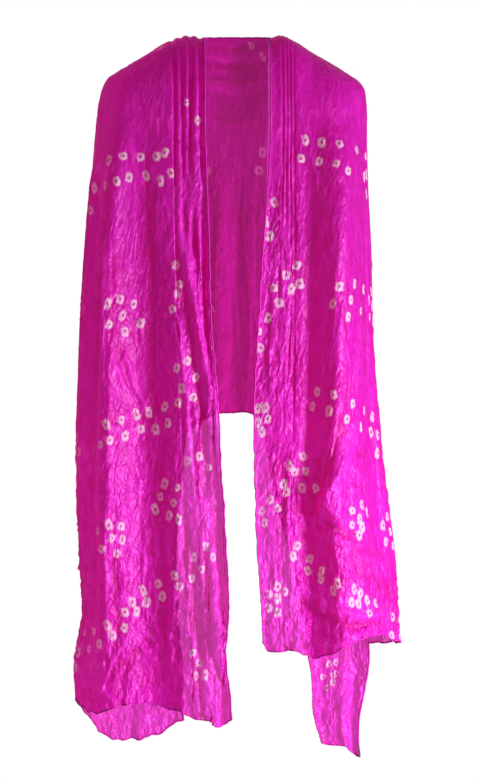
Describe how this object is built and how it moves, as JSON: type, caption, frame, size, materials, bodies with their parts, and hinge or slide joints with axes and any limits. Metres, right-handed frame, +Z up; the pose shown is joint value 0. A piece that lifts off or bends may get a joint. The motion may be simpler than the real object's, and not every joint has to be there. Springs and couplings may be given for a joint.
{
  "type": "dupatta stole",
  "caption": "Thin crinkled stole draped over both shoulders like an open shawl, gathered beside the neck and hanging in wide falls with uneven hems.",
  "frame": {"origin": "on the midline between the two places beside the neck where the stole rests on the shoulders, at their height", "axes": "+Z up, +Y to the wearer's back, +X to the viewer's right when the stole is seen from the front"},
  "size_m": [0.4882, 0.2233, 1.0828],
  "materials": {
    "cloth": "thin crinkled silk with a soft sheen",
    "hem_edging": "narrow rolled hem in the same silk"
  },
  "bodies": {
    "root": {"back_panel": "cloth", "left_band": "cloth", "left_front": "cloth", "left_rear": "cloth", "right_band": "cloth", "right_front": "cloth", "right_rear": "cloth", "right_tail": "cloth", "neck_hem": "hem_edging", "back_hem": "hem_edging", "left_end_hem": "hem_edging", "left_front_edge_hem": "hem_edging", "left_rear_edge_hem": "hem_edging", "right_end_hem": "hem_edging", "right_front_edge_hem": "hem_edging", "right_rear_edge_hem": "hem_edging", "tail_side_hem": "hem_edging", "tail_end_hem": "hem_edging"}
  },
  "joints": []
}
